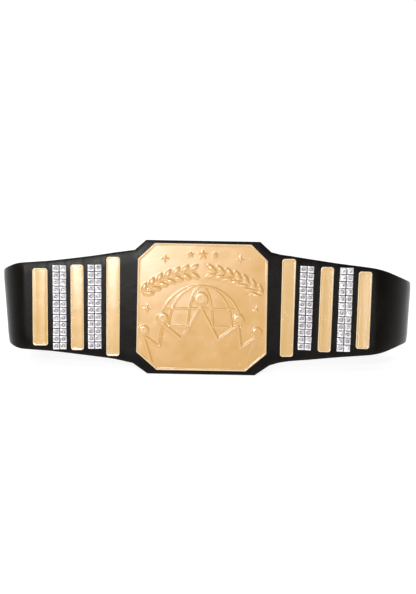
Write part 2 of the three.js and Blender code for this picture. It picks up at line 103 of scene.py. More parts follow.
# Plate: its edge, rim and field
PLATE_HALF_WIDTH = PANEL_WIDTH / 2 - 3.9
PLATE_TOP = PANEL_HEIGHT / 2 - 3.6
PLATE_BOTTOM = -PANEL_HEIGHT / 2 + 4.6
PLATE_HALF_HEIGHT = (PLATE_TOP - PLATE_BOTTOM) / 2
PLATE_THICKNESS = 2.4
PLATE_TOP_CORNER = (19.0, 18.2)
PLATE_BOTTOM_CORNER = (23.4, 19.8)
PLATE_EDGE_DROP = 0.7
PLATE_EDGE_ROUND = (-0.2, 0.5)
PLATE_ROW_STEP = 0.58
PLATE_COLUMNS = 251
RIM_WIDTH = 2.0
RIM_RISE = 0.4
# Width of the band along the edges of the plate and the bars that is painted paler: a painted highlight
PAINTED_HIGHLIGHT_BAND = 1.15
FIELD_BLEND = 1.5
FIELD_UNEVENNESS = 0.1
FIELD_WAVE = 60.0

# Relief on the plate, with heights above its field
RELIEF_RISE = 1.4
RELIEF_LINE_WIDTH = 4.4
GLOBE_RISE = 0.8
GLOBE_LINE_WIDTH = 2.8
GLOBE_RADIUS = 46.2
GLOBE_MIDDLE = 0.676
GLOBE_SWELL = 0.45
GLOBE_MERIDIANS = (1, 0.77, 0.3)
GLOBE_PARALLELS = (0.0, 0.44)
CROWN_WIDTH = 126.0
CROWN_HEIGHT = 71.0
CROWN_SHIFT = -1.5
CROWN_FOOT = PLATE_BOTTOM + RIM_WIDTH
BALL_RISE = 1.6
BALL_SEAT = 0.9
BALL_HOLLOW = 0.2
ARCH_RADIUS = 100.0
ARCH_DROP = 31.5
ARCH_MARGIN = 9.0
STEM_RISE = 0.6 * GLOBE_RISE
STEM_WIDTH = 1.4
LEAF_LENGTH = 13.0
LEAF_WIDTH = 6.4
LEAF_RISE = 1.25 * RELIEF_RISE
LEAF_PITCH = 9.8
LEAF_SPREAD = 4.2
LEAF_TURN = 0.6
RIB_DEPTH = 0.22
RIB_WIDTH = 1.0
STAR_RADIUS = 6.6
STAR_RISE = 1.5 * RELIEF_RISE
STAR_DROP = 12.5
STAR_PITCH = 14.0
STAR_WAIST = 0.42
SIDE_STAR_SHARE = 0.7
SPARKLE_RISE = 0.85 * RELIEF_RISE
SPARKLE_WAIST = 0.25

# Stripes
STRIPE_START = 21.9
STRIPE_PITCH = 21.1
BAR_WIDTH = 15.2
BAR_CORNER_RADIUS = 3.0
BAR_MARGIN = 6.3
BAR_COLUMNS = 33
BAR_STRAIGHT_ROWS = 60
BAR_CORNER_ROWS = 8

# A bar's front: its height at the very edge, how far it rises from there over BAR_EDGE_ROUND, the
# border and the pressed line inside it, the low ridge that wanders along the field, and the field's
# unevenness, whose waves are drawn out along the bar
BAR_EDGE_HEIGHT = 1.75
BAR_EDGE_RISE = 0.35
BAR_EDGE_ROUND = (-0.1, 0.4)
BORDER_RISE = 0.12
BORDER_PLACE = 0.8
BORDER_WIDTH = 1.4
PRESSED_PLACE = 1.8
PRESSED_WIDTH = 1.2
RIDGE_SLOPE = 0.035
RIDGE_ROUND = 3.0
RIDGE_WANDER = 1 / 8
RIDGE_PACE = 30.0
RIDGE_FADE = (1.5, 3.5)
BAR_UNEVENNESS = 0.05
BAR_WAVE = 36.0
BAR_WAVE_STRETCH = 0.4
BAR_WAVE_FADE = (1.2, 4.5)

# Stones: each is shifted, turned and tipped a little, by up to these lengths, degrees and slope
STONE_PITCH = 8.0
STONE_SIZE = 7.1
STONE_COLUMNS = 2
STONE_ROWS = 12
STONE_HEIGHT = 2.6
STONE_SIDES = 8
STONE_SHIFT = (0.18, 0.15)
STONE_TURN = 3
STONE_TIP = 0.02
STRIP_BACKING = 0.8
STONE_TALL = STONE_HEIGHT - STRIP_BACKING
STONE_DIMPLE = 0.84
# Painted dark reflections: the share of the facets round a stone's table painted grey, and the part of
# that share for the facets in its table; then the stones' three face kinds, the last of them painted dark
PAINTED_DARK_FACETS = 0.7
PAINTED_DARK_TABLE_SHARE = 0.3
CLEAR, BACKING, PAINTED_DARK = 0, 1, 2

# Starting numbers of the random draws
STRAP_SEED = 3
PLATE_SEED = 11
PATCH_SEED = 5
STRIPE_SEED = 20
BAR_WAVE_SEED = 50
STONE_SEED = {"left": 1, "right": 7}

# Waves: how many add up, and the range of their lengths as shares of the size asked for
WAVE_COUNT = 6
WAVE_RANGE = (0.7, 1.6)

# Colours, from the darker to the paler patches of each material
VINYL = (0.004, 0.003, 0.0022), (0.0075, 0.0056, 0.0042)
GOLD = (0.66, 0.385, 0.098), (0.7, 0.412, 0.112)
WARM_GOLD = (0.675, 0.365, 0.083), (0.71, 0.39, 0.097)
# Paler gold painted along the edges of the plate and the bars: a painted highlight
PAINTED_HIGHLIGHT_GOLD = (0.84, 0.64, 0.37), (0.88, 0.68, 0.41)
CLEAR_STONE = (0.86, 0.82, 0.85), (0.97, 0.96, 0.98)
# Grey painted on some facets of the clear stones: painted dark reflections
PAINTED_REFLECTION_STONE = (0.3, 0.28, 0.31), (0.46, 0.44, 0.46)
BACKING_FILM = (0.008, 0.008, 0.011), (0.018, 0.017, 0.024)
NAP = (0.006, 0.006, 0.006), (0.03, 0.029, 0.028)

# Camera: how far it stands from the plate, what the photograph's height covers there, where its axis
# meets the plate and how far the belt is turned in the picture
CAMERA_DISTANCE = 1800.0
VIEW_HEIGHT = 674.8
VIEW_AIM = (6.5, 12.2)
VIEW_ROLL = math.radians(1.02)
SENSOR = 36.0
CAMERA_RANGE = 50.0

# Brightness of the surroundings on the viewer's side and behind the belt, where along their depth it
# changes, and the floor's grey, its own glow and its reach in metres
WORLD_FRONT = 0.05
WORLD_BACK = 0.9
WORLD_FADE = (-0.9, 0.3)
FLOOR_GREY = 0.5
FLOOR_GLOW = 0.72
FLOOR_REACH = 40.0

# Lights: place and size in millimetres, and brightness as seen from the belt
Light = namedtuple("Light", "name place size radiance")
LIGHTS = [
    Light("key", (-500, -560, 660), (500, 500), 3.5),
    Light("sheen", (-290, -1829, 783), (200, 200), 76),
    Light("fill", (465, -1882, 500), (250, 400), 5),
]
LIGHT_AIM = (0, 0, 75)


def table(columns, rows):
    """A table whose columns are called by name."""
    return np.array(rows, dtype=[(column, float) for column in columns.split()])


# How the strap narrows: share of TAPER_LENGTH beyond the panel, and share of height lost on the left
# and on the right
TAPER = table("along left right", [
    (0.0, 0.0, 0.0),
    (0.05, 0.06, 0.09),
    (0.12, 0.14, 0.155),
    (0.22, 0.23, 0.23),
    (0.33, 0.32, 0.32),
    (0.43, 0.395, 0.385),
    (0.53, 0.44, 0.45),
    (0.6, 0.47, 0.55),
    (0.65, 0.56, 0.665),
    (0.74, 0.67, 0.8),
    (0.86, 0.815, 0.88),
    (1.0, 1.0, 1.0),
])

# How the strap lies: share of TAPER_LENGTH beyond the panel, lean and flare on the left and on the
# right in degrees, and the sinking of its middle line as a share of STRAP_ROOT_HEIGHT
LIE = table("along lean left_flare right_flare sink", [
    (0.0, 0.0, 0.0, 0.0, 0.0),
    (0.1, 0.9, 0.0, 0.0, -0.004),
    (0.2, 1.2, 0.0, 0.0, 0.001),
    (0.3, 1.5, 0.0, 0.0, 0.004),
    (0.55, 1.5, 0.0, 0.0, 0.01),
    (0.75, 0.8, 5.4, 3.0, 0.01),
    (0.95, 0.0, 5.4, 3.0, 0.008),
    (1.5, 0.0, 0.0, 0.0, 0.0),
])

# The stripes, counted outwards, for each side: place in steps of STRIPE_PITCH, width as a share of
# BAR_WIDTH, room above and below and drop of its middle as shares of BAR_MARGIN, and how far a bar's
# face is turned outwards, in degrees
Stripe = namedtuple("Stripe", "name stones left right")
Place = namedtuple("Place", "steps wide margin drop turn", defaults=(0.0,))
STRIPES = [
    Stripe("inner", False, Place(0.07, 1.0, 0.66, 0.12), Place(-0.11, 1.0, 0.76, -0.17)),
    Stripe("inner", True, Place(1.06, None, None, 0.15), Place(0.855, None, None, -0.24)),
    Stripe("middle", False, Place(2.0, 0.97, 1.03, 0.26), Place(1.935, 0.97, 1.08, -0.13)),
    Stripe("outer", True, Place(2.945, None, None, 0.28), Place(2.97, None, None, -0.2)),
    Stripe("outer", False, Place(3.99, 1.13, 1.07, 0.2, 1.9), Place(3.99, 1.0, 1.07, -0.22)),
]

# Half of the crown from its middle outwards: x as a share of half CROWN_WIDTH, z as a share of
# CROWN_HEIGHT, radius of the ball on that point as a share of CROWN_HEIGHT
CROWN = [
    (0.0, 1.0, 0.122),
    (0.322, 0.463, None),
    (0.684, 0.711, 0.093),
    (0.735, 0.342, None),
    (1.022, 0.518, 0.087),
    (0.82, -0.05, None),
]

# Four-pointed stars on both sides: x and z as shares of the plate's half width and half height, and
# size as a share of STAR_RADIUS
SPARKLES = [
    (0.58, 0.76, 0.95),
    (0.84, -0.04, 0.9),
]

# A stone's levels: half width as a share of half STONE_SIZE, cut of its corners as a share of that
# half width, and height as a share of STONE_TALL above the strip's backing
STONE_LEVELS = [
    (1.0, 0.1, -0.08),
    (1.0, 0.1, 0.4),
    (0.77, 0.24, 0.76),
    (0.54, 0.3, 1.0),
    (0.25, 0.3, 0.99),
]


def sign_of(side):
    return -1 if side == "left" else 1


def stripe_place(stripe, side):
    distance = PANEL_WIDTH / 2 + STRIPE_START + getattr(stripe, side).steps * STRIPE_PITCH
    return sign_of(side) * distance


def stripe_rise(stripe, side):
    """Height of a stripe's middle above the strap's middle line."""
    return -BAR_MARGIN * getattr(stripe, side).drop


def bar_width(stripe, side):
    return BAR_WIDTH * getattr(stripe, side).wide


def front_end(side):
    """Where the flat front ends on one side, just past the last stripe."""
    last = STRIPES[-1]
    return abs(stripe_place(last, side)) + bar_width(last, side) / 2 + BEND_MARGIN[side]


def bezier(points):
    """Points of a cubic curve without its last one."""
    t = np.linspace(0, 1, CURVE_STEPS, endpoint=False)[:, None]
    a, b, c, d = (np.array(p, float) for p in points)
    return a * (1 - t) ** 3 + 3 * b * t * (1 - t) ** 2 + 3 * c * t ** 2 * (1 - t) + d * t ** 3


def plan_curve():
    """The loop from above along the strap's outer face, from the middle of the front to the right,
    round the back and in again from the left, with its lengths and the place of its back's middle."""
    right, left = front_end("right"), -front_end("left")
    far_right, far_left = right + BEND_REACH["right"], left - BEND_REACH["left"]
    deep_right, deep_left = BEND_DEPTH["right"], BEND_DEPTH["left"]
    rise_right, rise_left = LOOP_DEPTH - deep_right, LOOP_DEPTH - deep_left
    near = 1 - QUARTER_ROUND
    stretches = [
        bezier([(0, 0), (right / 3, 0), (2 * right / 3, 0), (right, 0)]),
        bezier([(right, 0), (right + QUARTER_ROUND * BEND_REACH["right"], 0),
                (far_right, near * deep_right), (far_right, deep_right)]),
        bezier([(far_right, deep_right), (far_right, deep_right + BACK_FULLNESS * rise_right),
                (BACK_FULLNESS * far_right, LOOP_DEPTH), (0, LOOP_DEPTH)]),
        bezier([(0, LOOP_DEPTH), (BACK_FULLNESS * far_left, LOOP_DEPTH),
                (far_left, deep_left + BACK_FULLNESS * rise_left), (far_left, deep_left)]),
        bezier([(far_left, deep_left), (far_left, near * deep_left),
                (left - QUARTER_ROUND * BEND_REACH["left"], 0), (left, 0)]),
        bezier([(left, 0), (2 * left / 3, 0), (left / 3, 0), (0, 0)]),
    ]
    points = np.vstack(stretches + [[(0.0, 0.0)]])
    steps = np.hypot(*np.diff(points, axis=0).T)
    lengths = np.concatenate([[0], np.cumsum(steps)])
    back = lengths[sum(len(s) for s in stretches[:3])]
    return points, lengths, back


PLAN, PLAN_LENGTHS, BACK_MIDDLE = plan_curve()
LOOP_LENGTH = PLAN_LENGTHS[-1]
RIGHT_END = BACK_MIDDLE + TAIL_OVERLAP / 2
LEFT_END = BACK_MIDDLE - LOOP_LENGTH - TAIL_OVERLAP / 2
TUCK_DEPTH = STRAP_THICKNESS + PATCH_THICKNESS + 2 * SEAT


def plan_at(along):
    """Place on the loop, seen from above, after a length along it."""
    along = np.mod(along, LOOP_LENGTH)
    return np.array([np.interp(along, PLAN_LENGTHS, PLAN[:, i]) for i in (0, 1)])


def smoothstep(value, low, high):
    t = np.clip((value - low) / (high - low), 0, 1)
    return t * t * (3 - 2 * t)


def beyond_panel(along):
    return np.maximum(0, np.abs(along) - PANEL_WIDTH / 2) / TAPER_LENGTH


def tuck_at(along):
    """How far the inner tail lies under the outer one."""
    start = RIGHT_END - TAIL_OVERLAP - TUCK_RAMP
    return TUCK_DEPTH * smoothstep(along, start, start + TUCK_RAMP)


def wrap(flat):
    """Carries flat points, an array of x, y, z rows, round the loop."""
    x, y, z = flat.T
    share = beyond_panel(x)
    lean, left_flare, right_flare, sink = (
        np.interp(share, LIE["along"], LIE[column]) for column in LIE.dtype.names[1:]
    )
    lean = np.tan(np.radians(lean))
    flare = np.tan(np.radians(np.where(x < 0, left_flare, right_flare)))
    along = x + np.sign(x) * lean * z
    at = plan_at(along)
    tangent = plan_at(along + PLAN_NUDGE) - plan_at(along - PLAN_NUDGE)
    tangent /= np.hypot(*tangent)
    depth = y - flare * z + tuck_at(x)
    rise = z - STRAP_ROOT_HEIGHT * sink
    return np.stack([at[0] - depth * tangent[1], at[1] + depth * tangent[0], rise], axis=1)


def belt_to_model():
    """The belt's place in the model's frame, read from the mount on the panel's back."""
    mount = next(m for m in frame["record"]["mounts"] if m["name"] == "panel_back")
    lean = math.atan2(-mount["axis"][2], mount["axis"][1])
    turn = Matrix.Rotation(-lean, 4, "X")
    back = turn @ Vector((0, STRAP_THICKNESS * MM, 0))
    return Matrix.Translation(Vector(mount["pos_m"]) - back) @ turn


BELT_TO_MODEL = belt_to_model()


def to_model(flat):
    points = wrap(np.asarray(flat, float)) * MM
    turn = np.array(BELT_TO_MODEL.to_3x3())
    return points @ turn.T + np.array(BELT_TO_MODEL.translation)


def make_piece(name, flat, faces, material, node, sharp=35):
    """One piece from flat points and faces, in the place of the node of the plain model."""
    mesh = bpy.data.meshes.new(name)
    mesh.from_pydata(to_model(flat).tolist(), [], faces)
    mesh.materials.append(material)
    mesh.polygons.foreach_set("use_smooth", [True] * len(mesh.polygons))
    mesh.set_sharp_from_angle(angle=math.radians(sharp))
    mesh.update()
    piece = bpy.data.objects.new(name, mesh)
    bpy.context.scene.collection.objects.link(piece)
    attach(piece, "root")
    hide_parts(node)
    return piece


def ring_faces(rings, count):
    """Faces of a closed loft through rings of equally many points, numbered ring by ring."""
    faces = []
    for r in range(rings - 1):
        for i in range(count):
            a, b = r * count + i, r * count + (i + 1) % count
            faces.append((a, b, b + count, a + count))
    last = (rings - 1) * count
    faces.append(tuple(range(count - 1, -1, -1)))
    faces.append(tuple(range(last, last + count)))
    return faces


def slab_points(xs, zs, front, back):
    """Points and faces of a slab whose front is a grid of depths and whose back is flat.

    xs, zs and front are arrays of rows by columns, rows upwards and columns to the right."""
    rows, cols = xs.shape
    grid = np.arange(rows * cols).reshape(rows, cols)
    edge = np.concatenate([grid[0, :], grid[1:, -1], grid[-1, -2::-1], grid[-2:0:-1, 0]])
    face = np.stack([xs.ravel(), front.ravel(), zs.ravel()], axis=1)
    rear = face[edge].copy()
    rear[:, 1] = back
    first = rows * cols
    faces = [
        (grid[r, c], grid[r, c + 1], grid[r + 1, c + 1], grid[r + 1, c])
        for r in range(rows - 1) for c in range(cols - 1)
    ]
    count = len(edge)
    for i in range(count):
        j = (i + 1) % count
        faces.append((edge[j], edge[i], first + i, first + j))
    faces.append(tuple(range(first + count - 1, first - 1, -1)))
    faces = [tuple(int(v) for v in f) for f in faces]
    return np.vstack([face, rear]), faces


def spread(half, columns):
    """Places across a grid whose rows each reach from one edge to the other."""
    return half[:, None] * np.linspace(-1, 1, columns)


def line_distance(x, z, line):
    """Distance of each point to a line of corners."""
    best = np.full(x.shape, np.inf)
    for (x0, z0), (x1, z1) in zip(line, line[1:]):
        span = (x1 - x0) ** 2 + (z1 - z0) ** 2
        t = np.clip(((x - x0) * (x1 - x0) + (z - z0) * (z1 - z0)) / span, 0, 1)
        best = np.minimum(best, np.hypot(x - x0 - t * (x1 - x0), z - z0 - t * (z1 - z0)))
    return best


def inside(x, z, corners):
    """True for the points that lie inside a closed outline."""
    within = np.zeros(x.shape, bool)
    for (x0, z0), (x1, z1) in zip(corners, corners[1:] + corners[:1]):
        if z0 == z1:
            continue
        crosses = ((z0 > z) != (z1 > z)) & (x < (x1 - x0) * (z - z0) / (z1 - z0) + x0)
        within ^= crosses
    return within


def arc_points(middle, half_width, half_height, start, end, steps):
    """Points of an ellipse between two angles in degrees."""
    angles = np.radians(np.linspace(start, end, steps + 1))
    return [(middle[0] + half_width * math.cos(a), middle[1] + half_height * math.sin(a)) for a in angles]


def bead(distance, width):
    """A soft round ridge: 1 on the line, 0 at half the width from it."""
    t = np.clip(np.abs(distance) / (width / 2), 0, 1)
    return 0.5 + 0.5 * np.cos(math.pi * t)


def waves(x, z, seed, size):
    """Gentle unevenness between about -1 and 1, the same for the same seed."""
    draw = np.random.default_rng(seed)
    total = np.zeros(np.shape(x))
    for _ in range(WAVE_COUNT):
        heading = draw.uniform(0, 2 * math.pi)
        pace = 2 * math.pi / (size * draw.uniform(*WAVE_RANGE))
        shift = draw.uniform(0, 2 * math.pi)
        total += np.sin(pace * (x * math.cos(heading) + z * math.sin(heading)) + shift)
    return total / (WAVE_COUNT / 2)


def edge_height(along, flat):
    """Half height of the strap above or below its middle line, for the panel's flat on that edge."""
    distance = np.abs(along)
    blend = smoothstep(distance, PANEL_WIDTH / 2, TAPER_BLEND_FROM)
    lost = np.zeros(distance.shape)
    for shift in np.linspace(-TAPER_BLEND, TAPER_BLEND, TAPER_SAMPLES):
        share = beyond_panel(distance + shift * blend)
        left = np.interp(share, TAPER["along"], TAPER["left"])
        right = np.interp(share, TAPER["along"], TAPER["right"])
        lost += np.where(along < 0, left, right) / TAPER_SAMPLES
    strap = STRAP_ROOT_HEIGHT + (TAIL_HEIGHT - STRAP_ROOT_HEIGHT) * lost
    shoulder = (distance - flat / 2) / (PANEL_WIDTH / 2 - flat / 2)
    panel = PANEL_HEIGHT + (STRAP_ROOT_HEIGHT - PANEL_HEIGHT) * np.clip(shoulder, 0, 1)
    height = np.where(distance <= PANEL_WIDTH / 2, panel, strap) / 2
    radius = TAIL_CORNER_RADIUS
    to_end = np.minimum(RIGHT_END - along, along - LEFT_END)
    in_corner = np.maximum(0, radius - to_end)
    return height - (radius - np.sqrt(np.maximum(0, radius ** 2 - in_corner ** 2)))


def strap_height(along):
    along = np.array([along], float)
    return float(edge_height(along, PANEL_TOP_FLAT)[0] + edge_height(along, PANEL_BOTTOM_FLAT)[0])


def strap_stations():
    """Places along the belt with a section of the strap, closer where its tails are rounded."""
    places = [LEFT_END, RIGHT_END]
    for flat in (PANEL_TOP_FLAT, PANEL_BOTTOM_FLAT, PANEL_WIDTH):
        places += [-flat / 2, flat / 2]
    for share in TAIL_CORNER_SHARES:
        places += [LEFT_END + share * TAIL_CORNER_RADIUS, RIGHT_END - share * TAIL_CORNER_RADIUS]
    places = sorted(places)
    stations = []
    for start, end in zip(places, places[1:]):
        steps = max(1, math.ceil((end - start) / STATION_STEP))
        stations += list(np.linspace(start, end, steps, endpoint=False))
    return np.array(stations + [places[-1]])


def strap_face_depth(x, z, top, bottom):
    """How far the strap's face sinks or swells from its plain surface."""
    to_edge = np.minimum(top - z, z - bottom)
    depth = EDGE_SINK * (1 - smoothstep(to_edge, 0, EDGE_SINK_WIDTH))
    for side in ("left", "right"):
        for inner, outer in zip(STRIPES, STRIPES[1:]):
            gap = (stripe_place(inner, side) + stripe_place(outer, side)) / 2
            depth = depth - GAP_SWELL * np.exp(-(((x - gap) / GAP_SWELL_WIDTH) ** 2))
    shown = CALM_SHARE + (1 - CALM_SHARE) * smoothstep(np.abs(x), *CALM_FRONT)
    return depth + STRAP_UNEVENNESS * waves(x, z, STRAP_SEED, STRAP_WAVE) * shown


def strap_section(low, high):
    """Depths and heights round a section, from its lower back corner up the back and down the face."""
    radius = STRAP_EDGE_ROUND
    near, far = radius, STRAP_THICKNESS - radius

    def corner(depth, height, start):
        return arc_points((depth, height), radius, radius, start, start + 90, 5)

    back = [(STRAP_THICKNESS, low + t * (high - low)) for t in np.linspace(0, 1, BACK_POINTS)[1:-1]]
    face = [(0.0, high + t * (low - high)) for t in np.linspace(0, 1, FACE_POINTS)[1:-1]]
    ring = corner(far, low, -90) + back + corner(far, high, 0)
    ring += corner(near, high, 90) + face + corner(near, low, 180)
    return np.array(ring).T


def strap_piece(material):
    """The padded strap with its panel, lofted through one section at each station."""
    stations = strap_stations()
    tops = edge_height(stations, PANEL_TOP_FLAT)
    bottoms = -edge_height(stations, PANEL_BOTTOM_FLAT)
    rings = []
    for along, top, bottom in zip(stations, tops, bottoms):
        y, z = strap_section(bottom + STRAP_EDGE_ROUND, top - STRAP_EDGE_ROUND)
        x = np.full(z.shape, along)
        near_face = np.clip(1 - y / STRAP_THICKNESS, 0, 1)
        y = y + near_face * strap_face_depth(x, z, top, bottom)
        rings.append(np.stack([x, y, z], axis=1))
    faces = ring_faces(len(rings), len(rings[0]))
    return make_piece("strap_body", np.vstack(rings), faces, material, "strap", sharp=50)


def plate_corners():
    """The plate's eight corners, counterclockwise as seen from in front."""
    right = [
        (PLATE_HALF_WIDTH - PLATE_BOTTOM_CORNER[0], PLATE_BOTTOM),
        (PLATE_HALF_WIDTH, PLATE_BOTTOM + PLATE_BOTTOM_CORNER[1]),
        (PLATE_HALF_WIDTH, PLATE_TOP - PLATE_TOP_CORNER[1]),
        (PLATE_HALF_WIDTH - PLATE_TOP_CORNER[0], PLATE_TOP),
    ]
    return right + [(-x, z) for x, z in reversed(right)]


def crown_points():
    """The crown's line from its left foot over its points to its right foot."""
    right = [(x * CROWN_WIDTH / 2, CROWN_FOOT + z * CROWN_HEIGHT) for x, z, _ in CROWN]
    left = [(-x, z) for x, z in reversed(right[1:])]
    return [(CROWN_SHIFT + x, z) for x, z in left + right]


def crown_relief(x, z):
    """The crown's line and the ball on each of its points."""
    relief = RELIEF_RISE * bead(line_distance(x, z, crown_points()), RELIEF_LINE_WIDTH)
    for share, up, ball in CROWN:
        if ball is None:
            continue
        radius = ball * CROWN_HEIGHT
        for side in (-1, 1):
            middle_x = CROWN_SHIFT + side * share * CROWN_WIDTH / 2
            middle_z = CROWN_FOOT + up * CROWN_HEIGHT + BALL_SEAT * radius
            away = np.hypot(x - middle_x, z - middle_z) / radius
            dome = np.sqrt(np.clip(1 - away ** 4, 0, 1)) * (1 - BALL_HOLLOW + BALL_HOLLOW * away ** 2)
            relief = np.where(away < 1, BALL_RISE * dome, relief)
    return relief


def globe_relief(x, z):
    """The upper part of a globe with meridians and parallels, on a gently swelling ball."""
    middle = (CROWN_SHIFT, CROWN_FOOT + GLOBE_MIDDLE * CROWN_HEIGHT)
    lines = [
        arc_points(middle, share * GLOBE_RADIUS, GLOBE_RADIUS, 0, 180, 40) for share in GLOBE_MERIDIANS
    ]
    for rise in GLOBE_PARALLELS:
        half = GLOBE_RADIUS * math.sqrt(1 - rise ** 2)
        level = middle[1] + rise * GLOBE_RADIUS
        lines.append([(middle[0] - half, level), (middle[0] + half, level)])
    away = np.hypot(x - middle[0], z - middle[1]) / GLOBE_RADIUS
    swell = GLOBE_SWELL * (1 - smoothstep(away, 0.2, 1.0))
    nearest = np.minimum.reduce([line_distance(x, z, line) for line in lines])
    above = (z > middle[1] - GLOBE_LINE_WIDTH) & ~inside(x, z, crown_points())
    return np.where(above, swell + GLOBE_RISE * bead(nearest, GLOBE_LINE_WIDTH), 0)


def leaf_relief(x, z, middle, turn):
    """One leaf: an almond that is highest along its middle, with a fine rib."""
    dx, dz = x - middle[0], z - middle[1]
    along = (dx * math.cos(turn) + dz * math.sin(turn)) / (LEAF_LENGTH / 2)
    across = dz * math.cos(turn) - dx * math.sin(turn)
    width = (LEAF_WIDTH / 2) * np.sqrt(np.clip(1 - along ** 2, 1e-6, 1))
    body = np.clip(1 - (across / width) ** 2, 0, 1) * np.sqrt(np.clip(1 - along ** 2, 0, 1))
    rib = RIB_DEPTH * bead(across, RIB_WIDTH) * (body > 0.05)
    return np.where(np.abs(along) < 1, LEAF_RISE * body - rib, 0)


def laurel_relief(x, z):
    """Two laurel branches that meet at the top."""
    middle = (0.0, PLATE_TOP - ARCH_DROP - ARCH_RADIUS)
    step = LEAF_PITCH / ARCH_RADIUS
    reach = math.asin((PLATE_HALF_WIDTH - ARCH_MARGIN) / ARCH_RADIUS)
    relief = np.zeros(x.shape)
    for side in (-1, 1):
        arc = arc_points(middle, ARCH_RADIUS, ARCH_RADIUS, 90, 90 - side * math.degrees(reach), 30)
        stem = arc[3:]
        relief = np.maximum(relief, STEM_RISE * bead(line_distance(x, z, stem), STEM_WIDTH))
        for i in range(1, int(reach / step) + 1):
            angle = math.pi / 2 - side * i * step
            for away in (-1, 1):
                radius = ARCH_RADIUS + away * LEAF_SPREAD
                at = (middle[0] + radius * math.cos(angle), middle[1] + radius * math.sin(angle))
                turn = angle + math.pi / 2 * side - LEAF_TURN * away * side
                relief = np.maximum(relief, leaf_relief(x, z, at, turn))
    return relief


def star_relief(x, z, middle, radius, points, waist):
    """A star from 0 at its edge to 1 in its middle, with a ridge along each arm."""
    dx, dz = x - middle[0], z - middle[1]
    away = np.hypot(dx, dz)
    sector = math.pi / points
    angle = np.mod(np.arctan2(dx, dz) + sector, 2 * sector) - sector
    u, v = away * np.cos(angle), away * np.abs(np.sin(angle))
    tip_u, tip_v = waist * radius * math.cos(sector), waist * radius * math.sin(sector)
    return np.clip(1 - (u / radius + v * (radius - tip_u) / (radius * tip_v)), 0, 1)


def plate_relief(x, z):
    """Height of the plate's picture above its field."""
    middle_z = (PLATE_TOP + PLATE_BOTTOM) / 2
    relief = np.maximum.reduce([globe_relief(x, z), laurel_relief(x, z), crown_relief(x, z)])
    for step in (-1, 0, 1):
        radius = SIDE_STAR_SHARE * STAR_RADIUS if step else STAR_RADIUS
        star = star_relief(x, z, (step * STAR_PITCH, PLATE_TOP - STAR_DROP), radius, 5, STAR_WAIST)
        relief = np.maximum(relief, STAR_RISE * star)
    for share_x, share_z, size in SPARKLES:
        for side in (-1, 1):
            at = (side * share_x * PLATE_HALF_WIDTH, middle_z + share_z * PLATE_HALF_HEIGHT)
            spark = star_relief(x, z, at, size * STAR_RADIUS, 4, SPARKLE_WAIST)
            relief = np.maximum(relief, SPARKLE_RISE * spark)
    return relief


def paint_edge_highlight(piece, to_edge, material):
    """Gives the faces near the edge of a slab's front a paler material of their own: a painted highlight
    along the edge.
    """
    piece.data.materials.append(material)
    middles = (to_edge[:-1, :-1] + to_edge[1:, 1:]) / 2
    near = (middles < PAINTED_HIGHLIGHT_BAND).ravel()
    kinds = np.zeros(len(piece.data.polygons), int)
    kinds[:len(near)] = near
    piece.data.polygons.foreach_set("material_index", kinds.tolist())


def plate_grid(corners):
    """Places of the plate's points, in rows that end on its outline and pass through its corners."""
    levels = sorted({round(z, 4) for _, z in corners})
    rows = np.concatenate([
        np.linspace(low, high, max(2, round((high - low) / PLATE_ROW_STEP)), endpoint=False)
        for low, high in zip(levels, levels[1:])
    ] + [[levels[-1]]])
    right = sorted([(z, x) for x, z in corners if x > 0])
    half = np.interp(rows, [z for z, _ in right], [x for _, x in right])
    x = spread(half, PLATE_COLUMNS)
    return x, np.repeat(rows[:, None], PLATE_COLUMNS, axis=1)


def plate_piece(material, rim):
    """The embossed centre plate: a fine grid of heights between the plate's slanted corners."""
    corners = plate_corners()
    x, z = plate_grid(corners)
    to_edge = line_distance(x, z, corners + corners[:1])
    field = smoothstep(to_edge, RIM_WIDTH, RIM_WIDTH + FIELD_BLEND)
    height = PLATE_THICKNESS + plate_relief(x, z) * field
    height += FIELD_UNEVENNESS * waves(x, z, PLATE_SEED, FIELD_WAVE) * field
    height += RIM_RISE * bead(to_edge - 0.55 * RIM_WIDTH, 1.15 * RIM_WIDTH)
    height -= PLATE_EDGE_DROP * (1 - smoothstep(to_edge, *PLATE_EDGE_ROUND))
    points, faces = slab_points(x, z, -SEAT - height, -SEAT)
    piece = make_piece("plate_embossed", points, faces, material, "centre_plate", sharp=60)
    # the band along the plate's edge is painted paler: a painted highlight
    paint_edge_highlight(piece, to_edge, rim)


def bar_grid(width, height):
    """Places of a bar's points, in rows that end on its rounded outline."""
    radius = BAR_CORNER_RADIUS
    straight = height / 2 - radius
    corner = straight + radius * np.sin(np.radians(np.linspace(0, 90, BAR_CORNER_ROWS)))
    upper = np.concatenate([np.linspace(0, straight, BAR_STRAIGHT_ROWS, endpoint=False), corner])
    rows = np.concatenate([-upper[:0:-1], upper])
    in_corner = np.maximum(0, np.abs(rows) - straight)
    half = width / 2 - radius + np.sqrt(np.maximum(0, radius ** 2 - in_corner ** 2))
    x = spread(half, BAR_COLUMNS)
    return x, np.repeat(rows[:, None], BAR_COLUMNS, axis=1)


def bar_edge_distance(x, z, width, height):
    """Distance of each of a bar's points to its rounded outline."""
    radius = BAR_CORNER_RADIUS
    past_x = np.maximum(0, np.abs(x) - (width / 2 - radius))
    past_z = np.maximum(0, np.abs(z) - (height / 2 - radius))
    plain = np.minimum(width / 2 - np.abs(x), height / 2 - np.abs(z))
    return np.where((past_x > 0) & (past_z > 0), radius - np.hypot(past_x, past_z), plain)


